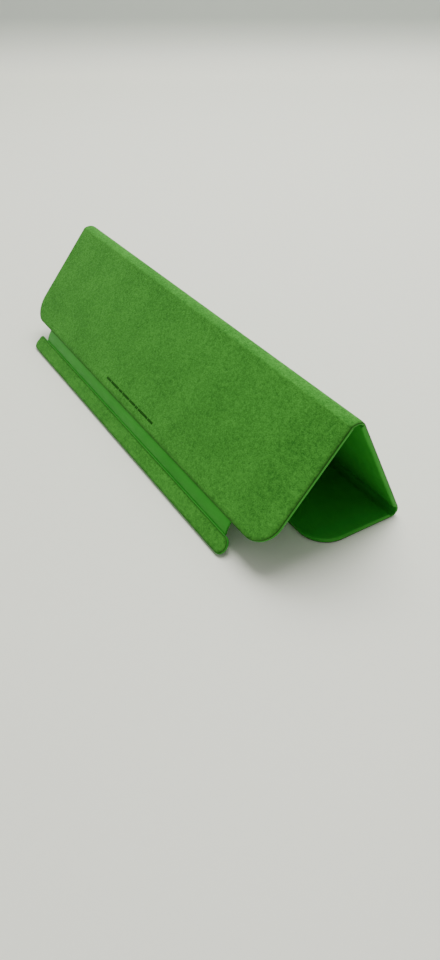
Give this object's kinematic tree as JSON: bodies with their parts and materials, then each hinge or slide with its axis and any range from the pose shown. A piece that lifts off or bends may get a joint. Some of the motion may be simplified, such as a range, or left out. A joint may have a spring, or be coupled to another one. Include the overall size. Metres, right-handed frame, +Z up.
{
  "type": "folding tablet stand",
  "caption": "Folding tablet cover set up as an open tent stand: stiff lined panels with soft folds, a flap and a magnetic spine strip.",
  "frame": {"origin": "on the table, under the middle of the stand's box", "axes": "+X along the length, -Y towards the front where the tablet leans, +Z up"},
  "size_m": [0.238, 0.0778, 0.0574],
  "materials": {
    "polyurethane_skin": "smooth coated polyurethane, satin",
    "microfibre_lining": "fine brushed suede",
    "stiffener_board": "pressed glass-fibre board",
    "carrier_plastic": "moulded carrier",
    "plated_magnet": "nickel-plated magnet",
    "steel_strip": "cold-rolled strip"
  },
  "bodies": {
    "base_panel": {"base_skin": "polyurethane_skin", "base_stiffener": "stiffener_board", "base_lining": "microfibre_lining", "base_latch_magnets": "plated_magnet", "base_magnet_strips": "steel_strip", "sleep_magnet": "plated_magnet", "base_fold_lining": "microfibre_lining", "base_fold_skin": "polyurethane_skin"},
    "back_panel": {"back_skin": "polyurethane_skin", "back_stiffener": "stiffener_board", "back_lining": "microfibre_lining", "ridge_fold_lining": "microfibre_lining", "ridge_fold_skin": "polyurethane_skin"},
    "front_panel": {"front_skin": "polyurethane_skin", "front_stiffener": "stiffener_board", "front_lining": "microfibre_lining", "front_catch_plates": "steel_strip"},
    "flap": {"flap_skin": "polyurethane_skin", "flap_backing": "polyurethane_skin"},
    "spine": {"spine_skin": "polyurethane_skin", "spine_carrier": "carrier_plastic", "spine_lining": "microfibre_lining", "spine_magnets": "plated_magnet", "spine_magnet_strips": "steel_strip"}
  },
  "joints": [
    {"name": "base_fold", "type": "hinge", "parent": "base_panel", "child": "back_panel", "pos_m": [0, 0.0384, 0.00184], "axis": [-1, 0, 0], "range_deg": [-45, 117.1], "deforming": ["base_fold_lining", "base_fold_skin"]},
    {"name": "ridge_fold", "type": "hinge", "parent": "back_panel", "child": "front_panel", "pos_m": [0, 0.00997, 0.05747], "axis": [-1, 0, 0], "range_deg": [-25, 112.7], "deforming": ["ridge_fold_lining", "ridge_fold_skin"]},
    {"name": "flap_fold", "type": "hinge", "parent": "front_panel", "child": "flap", "pos_m": [0, -0.03033, 0.01103], "axis": [-1, 0, 0], "range_deg": [-75, 80]},
    {"name": "spine_fold", "type": "hinge", "parent": "flap", "child": "spine", "pos_m": [0, -0.03205, 0.00646], "axis": [-1, 0, 0], "range_deg": [-70, 45]}
  ]
}
